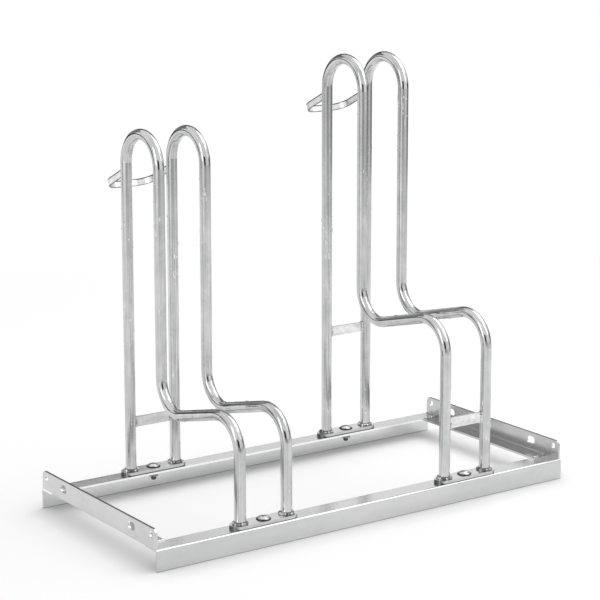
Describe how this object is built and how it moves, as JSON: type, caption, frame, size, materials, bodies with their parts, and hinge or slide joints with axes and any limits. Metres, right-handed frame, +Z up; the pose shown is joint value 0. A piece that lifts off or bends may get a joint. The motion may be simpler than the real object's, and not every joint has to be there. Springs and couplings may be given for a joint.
{
  "type": "two tier bike rack",
  "caption": "Floor rack of angle section with a low and a high wheel holder, each a pair of bent tube hoops that grips a cycle's front wheel.",
  "frame": {"origin": "on the floor, in the middle of the rack's length and of its whole depth, the top straps included", "axes": "+X runs along the rails to the right, towards the high holder, +Y to the rear, +Z up"},
  "size_m": [0.7, 0.3742, 0.6275],
  "materials": {
    "galvanised_tube": "bright hot dip galvanised drawn tube",
    "galvanised_section": "satin hot dip galvanised rolled angle",
    "galvanised_plate": "hot dip galvanised flat bar",
    "galvanised_strap": "hot dip galvanised flat strip",
    "zinc_fastener": "bright zinc plated"
  },
  "bodies": {
    "root": {"front_rail": "galvanised_section", "rear_rail": "galvanised_section", "left_end_angle": "galvanised_section", "right_end_angle": "galvanised_section", "low_left_hoop": "galvanised_tube", "low_right_hoop": "galvanised_tube", "high_left_hoop": "galvanised_tube", "high_right_hoop": "galvanised_tube", "low_front_foot_plate": "galvanised_plate", "low_front_bolt": "zinc_fastener", "low_front_nut": "zinc_fastener", "low_rear_foot_plate": "galvanised_plate", "low_rear_bolt": "zinc_fastener", "low_rear_nut": "zinc_fastener", "high_front_foot_plate": "galvanised_plate", "high_front_bolt": "zinc_fastener", "high_front_nut": "zinc_fastener", "high_rear_foot_plate": "galvanised_plate", "high_rear_bolt": "zinc_fastener", "high_rear_nut": "zinc_fastener", "low_rear_strap": "galvanised_strap", "high_rear_strap": "galvanised_strap", "high_front_strap": "galvanised_strap", "low_top_strap": "galvanised_strap", "high_top_strap": "galvanised_strap"}
  },
  "joints": []
}
